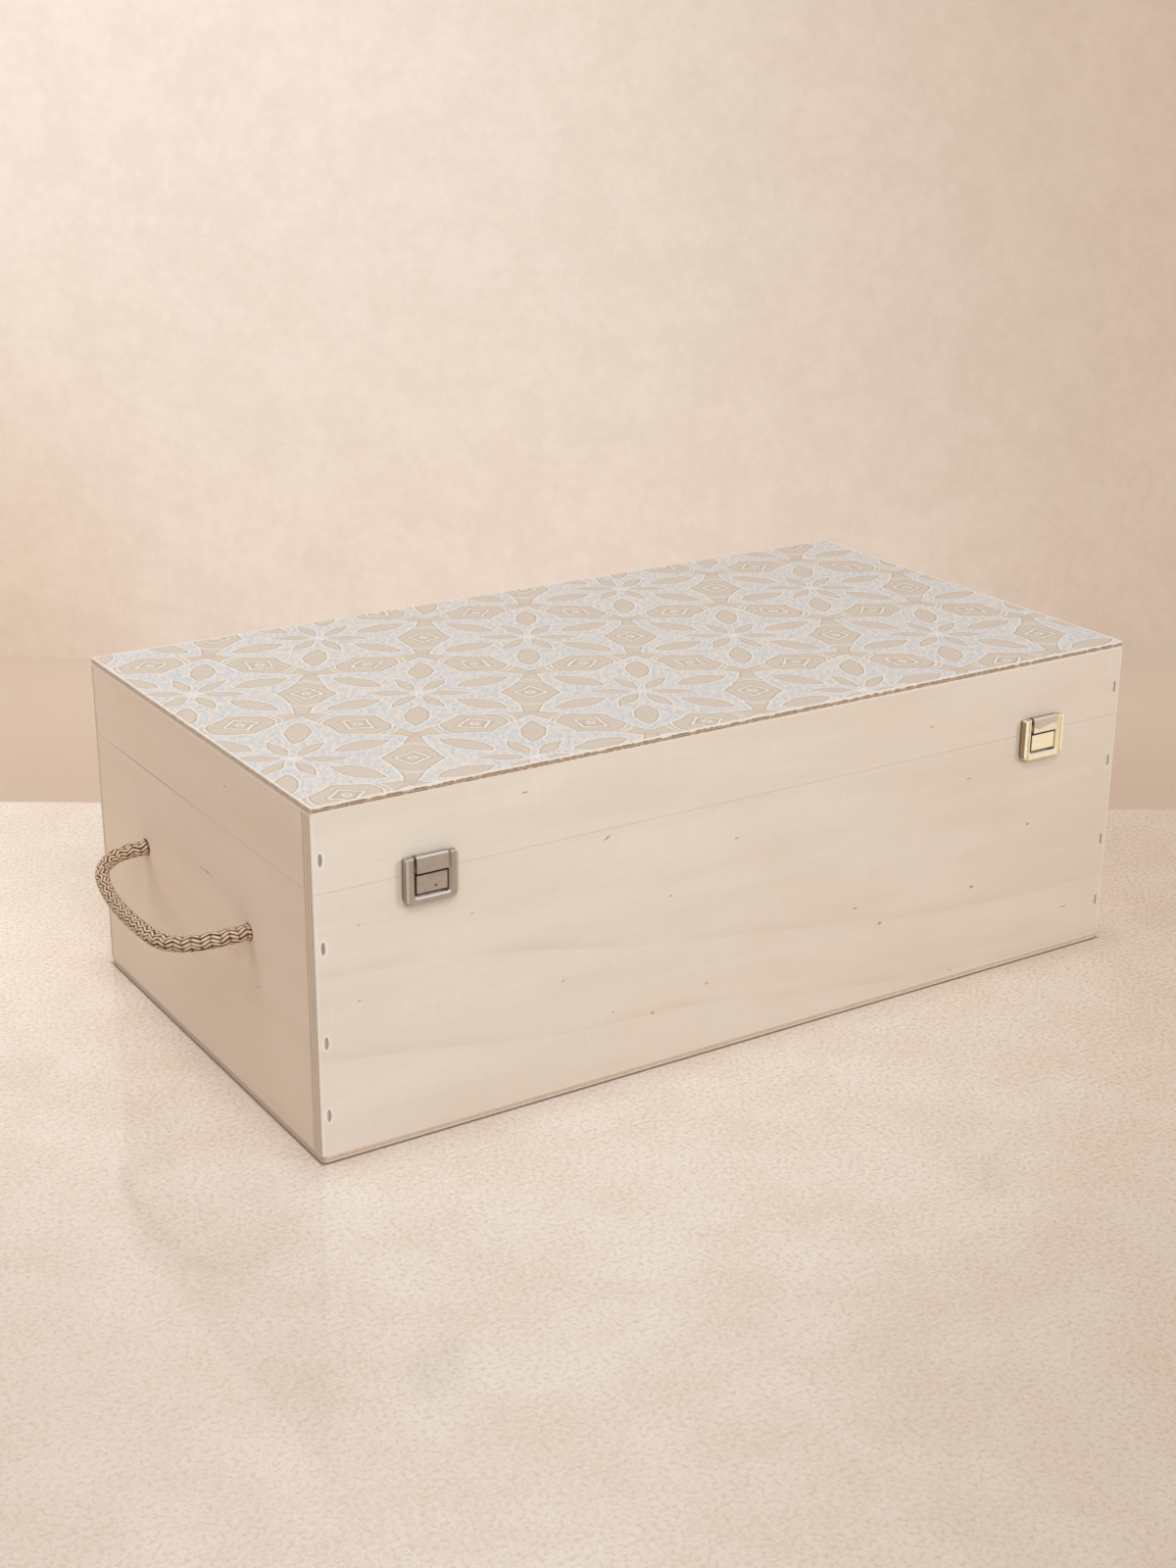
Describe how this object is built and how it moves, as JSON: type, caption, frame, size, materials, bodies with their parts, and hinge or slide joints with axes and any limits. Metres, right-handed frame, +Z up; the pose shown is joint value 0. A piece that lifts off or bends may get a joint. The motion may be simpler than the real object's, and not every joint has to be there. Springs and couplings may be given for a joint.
{
  "type": "keepsake box",
  "caption": "Plywood keepsake box with a hinged, pattern-topped lid, ring latches on the front and a rope handle at each end.",
  "frame": {"origin": "centre of the underside, where the box stands", "axes": "+X along the front to the right, +Y from the front to the back, +Z up"},
  "size_m": [0.5838, 0.2774, 0.18],
  "materials": {
    "birch_ply": "satin",
    "decorated_ply": "matte",
    "satin_nickel": "satin",
    "gilt_brass": "satin",
    "latch_steel": "satin",
    "hinge_steel": "satin",
    "staple_wire": "satin",
    "rope": "matte"
  },
  "bodies": {
    "base": {"base_back": "birch_ply", "base_back_staples": "staple_wire", "base_bottom": "birch_ply", "base_front": "birch_ply", "base_front_staples": "staple_wire", "base_left_end": "birch_ply", "base_right_end": "birch_ply", "left_hinge_base_leaf": "hinge_steel", "left_hinge_base_rivets": "hinge_steel", "left_hinge_pin": "hinge_steel", "left_latch_catch": "satin_nickel", "left_rope_ends": "rope", "right_hinge_base_leaf": "hinge_steel", "right_hinge_base_rivets": "hinge_steel", "right_hinge_pin": "hinge_steel", "right_latch_catch": "gilt_brass", "right_rope_ends": "rope"},
    "lid": {"left_hinge_lid_leaf": "hinge_steel", "left_hinge_lid_rivets": "hinge_steel", "left_latch_flap": "satin_nickel", "lid_back": "birch_ply", "lid_back_staples": "staple_wire", "lid_front": "birch_ply", "lid_front_staples": "staple_wire", "lid_left_end": "birch_ply", "lid_right_end": "birch_ply", "lid_top": "decorated_ply", "right_hinge_lid_leaf": "hinge_steel", "right_hinge_lid_rivets": "hinge_steel", "right_latch_flap": "satin_nickel"},
    "left_latch": {"left_latch_pin": "latch_steel", "left_latch_ring": "satin_nickel"},
    "right_latch": {"right_latch_pin": "latch_steel", "right_latch_ring": "gilt_brass"},
    "left_handle": {"left_rope_loop": "rope"},
    "right_handle": {"right_rope_loop": "rope"}
  },
  "joints": [
    {"name": "lid_hinge", "type": "hinge", "parent": "base", "child": "lid", "pos_m": [0, 0.1362, 0.1378], "axis": [-1, 0, 0], "range_deg": [0, 180]},
    {"name": "left_latch_swing", "type": "hinge", "parent": "lid", "child": "left_latch", "pos_m": [-0.1905, -0.1365, 0.1452], "axis": [-1, 0, 0], "range_deg": [0, 175]},
    {"name": "right_latch_swing", "type": "hinge", "parent": "lid", "child": "right_latch", "pos_m": [0.1905, -0.1365, 0.1452], "axis": [-1, 0, 0], "range_deg": [0, 175]},
    {"name": "left_handle_swing", "type": "hinge", "parent": "base", "child": "left_handle", "pos_m": [-0.25465, 0, 0.0923], "axis": [0, 1, 0], "range_deg": [-70, 90], "stiffness_Nm_per_rad": 0.03, "springref_deg": 4.01},
    {"name": "right_handle_swing", "type": "hinge", "parent": "base", "child": "right_handle", "pos_m": [0.25465, 0, 0.0923], "axis": [0, -1, 0], "range_deg": [-70, 90], "stiffness_Nm_per_rad": 0.03, "springref_deg": 4.01}
  ]
}
